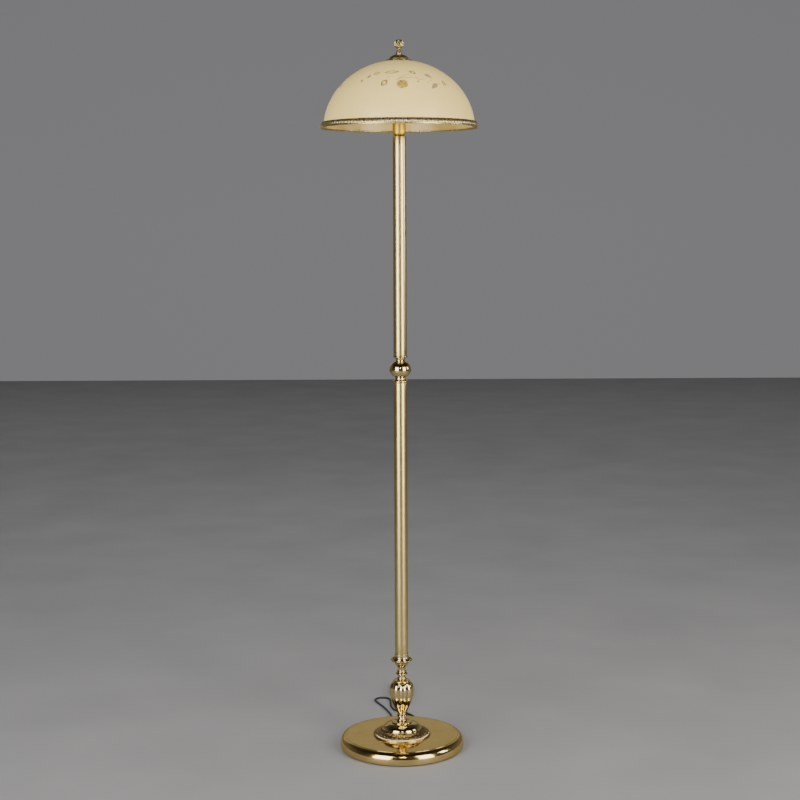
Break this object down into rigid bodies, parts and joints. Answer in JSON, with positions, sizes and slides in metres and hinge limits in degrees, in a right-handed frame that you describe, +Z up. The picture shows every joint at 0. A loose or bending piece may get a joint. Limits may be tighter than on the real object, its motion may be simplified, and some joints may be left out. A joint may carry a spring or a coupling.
{
  "type": "floor lamp",
  "caption": "Polished brass floor lamp: weighted round base, fluted vase, tubular column with a ball knot, downward opal glass dome, inline cord switch.",
  "frame": {"origin": "on the floor at the centre of the round base", "axes": "+Z up the column; +Y away from the side the lamp is seen from, where the cord leaves the base; +X to the right seen from the front"},
  "size_m": [0.3759, 0.6915, 1.7128],
  "materials": {
    "felt": "dark felt, matt",
    "cast_iron": "rough cast",
    "polished_brass": "polished and lacquered",
    "zinc_steel": "zinc plated, worn",
    "antique_brass": "cast, darkened in the hollows and rubbed bright on the ridges",
    "phenolic": "black moulded, slightly glossy",
    "bulb_cap_metal": "rolled thread, satin",
    "frosted_glass": "frosted inside",
    "black_rubber": "matt",
    "opal_glass": "cream opal, satin outside, with printed gold flowers",
    "cord_jacket": "smooth flexible jacket, satin",
    "lead_insulation": "smooth",
    "switch_plastic": "fine-grained moulding",
    "rocker_plastic": "polished moulding",
    "nickel_pins": "nickel plated",
    "tie_strip": "matt rubber strip"
  },
  "bodies": {
    "lamp": {"felt_pad": "felt", "base_weight": "cast_iron", "base_cover": "polished_brass", "clamp_washer": "zinc_steel", "clamp_nut": "zinc_steel", "lower_rod": "zinc_steel", "base_rosette": "antique_brass", "rosette_dome": "polished_brass", "tier_collar": "antique_brass", "lower_neck": "polished_brass", "fluted_vase": "polished_brass", "vase_shoulder": "polished_brass", "turned_spool": "polished_brass", "saucer": "polished_brass", "foot_ring": "polished_brass", "lower_tube": "polished_brass", "foot_bush": "zinc_steel", "knot_lower_bush": "zinc_steel", "knot_lower_collar": "polished_brass", "knot_ball": "polished_brass", "knot_upper_collar": "polished_brass", "knot_nipple": "zinc_steel", "knot_upper_bush": "zinc_steel", "upper_tube": "polished_brass", "top_bush": "zinc_steel", "top_nipple": "zinc_steel", "top_cup": "polished_brass", "cluster_hub": "polished_brass", "arm_nipples": "zinc_steel", "lampholder_left": "phenolic", "lampholder_right": "phenolic", "bulb_cap_left": "bulb_cap_metal", "bulb_cap_right": "bulb_cap_metal", "bulb_glass_left": "frosted_glass", "bulb_glass_right": "frosted_glass", "shade_rod": "zinc_steel", "seat_nut": "zinc_steel", "seat_disc": "polished_brass", "seat_rubber": "black_rubber", "glass_dome": "opal_glass", "rim_band": "antique_brass", "cap_rubber": "black_rubber", "top_cap": "polished_brass", "supply_cable": "cord_jacket", "lamp_leads": "lead_insulation", "cord_gland": "black_rubber", "cord_lead": "cord_jacket", "switch_base": "switch_plastic", "switch_cover": "switch_plastic", "switch_contacts": "nickel_pins", "switch_screws": "zinc_steel", "cord_link": "cord_jacket", "cord_hank": "cord_jacket", "hank_tie": "tie_strip", "cord_tail": "cord_jacket", "plug_body": "switch_plastic", "plug_pins": "nickel_pins"},
    "rocker": {"switch_rocker": "rocker_plastic"},
    "cap_nut_washer": {"finial_washer": "polished_brass"},
    "finial_nut": {"finial": "polished_brass"}
  },
  "joints": [
    {"name": "rocker_press", "type": "hinge", "parent": "lamp", "child": "rocker", "pos_m": [0, 0.336, 0.0125], "axis": [1, 0, 0], "range_deg": [0, 14]},
    {"name": "finial_lift", "type": "slide", "parent": "lamp", "child": "cap_nut_washer", "axis": [0, 0, 1], "range_m": [0, 0.006]},
    {"name": "finial_turn", "type": "hinge", "parent": "cap_nut_washer", "child": "finial_nut", "pos_m": [0, 0, 1.69], "axis": [0, 0, 1], "range_deg": [0, 2160]}
  ],
  "couplings": [
    {"joint": "finial_turn", "follows": "finial_lift", "rad_per_m": 6283.2}
  ]
}
